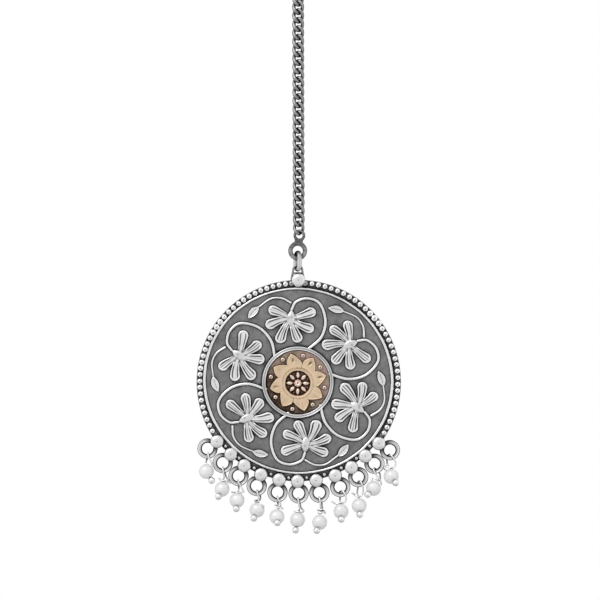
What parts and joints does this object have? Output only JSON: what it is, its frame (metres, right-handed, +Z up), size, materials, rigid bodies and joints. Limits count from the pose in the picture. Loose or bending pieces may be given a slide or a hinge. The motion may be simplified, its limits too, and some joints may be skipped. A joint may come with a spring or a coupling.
{
  "type": "maang tikka",
  "caption": "Forehead jewel: a round relief disc with a gilt flower and a fringe of pearl drops, hung from a fine curb chain with a hair hook.",
  "frame": {"origin": "inner crown of the hair hook's bend, where it sits on the hair", "axes": "+Z up along the hanging chain, -Y towards the viewer (the disc's relief face), +X to the viewer's right"},
  "size_m": [0.041, 0.0066, 0.147],
  "materials": {
    "oxidised_silver": "oxidised in the hollows, polished on the relief",
    "dark_silver": "oxidised dark, satin",
    "bright_silver": "satin silver",
    "matte_gilt": "matte pale gilt, dark in the hollows",
    "pearl": "pearl lustre"
  },
  "bodies": {
    "chain_and_hook": {"hair_hook": "bright_silver", "chain": "dark_silver", "figure_eight_link": "dark_silver"},
    "jump_ring": {"jump_ring": "bright_silver"},
    "pendant": {"pendant_disc": "oxidised_silver", "gold_medallion": "matte_gilt", "head_pin_01": "bright_silver", "head_pin_02": "bright_silver", "head_pin_03": "bright_silver", "head_pin_04": "bright_silver", "head_pin_05": "bright_silver", "head_pin_06": "bright_silver", "head_pin_07": "bright_silver", "head_pin_08": "bright_silver", "head_pin_09": "bright_silver", "head_pin_10": "bright_silver", "head_pin_11": "bright_silver", "pearl_01": "pearl", "pearl_02": "pearl", "pearl_03": "pearl", "pearl_04": "pearl", "pearl_05": "pearl", "pearl_06": "pearl", "pearl_07": "pearl", "pearl_08": "pearl", "pearl_09": "pearl", "pearl_10": "pearl", "pearl_11": "pearl"}
  },
  "joints": [
    {"name": "swing_front_back", "type": "hinge", "parent": "chain_and_hook", "child": "jump_ring", "pos_m": [0, 0, -0.0909], "axis": [1, 0, 0], "range_deg": [-60, 60]},
    {"name": "swing_side", "type": "hinge", "parent": "jump_ring", "child": "pendant", "pos_m": [0, 0, -0.09317], "axis": [0, 1, 0], "range_deg": [-75, 75]}
  ]
}
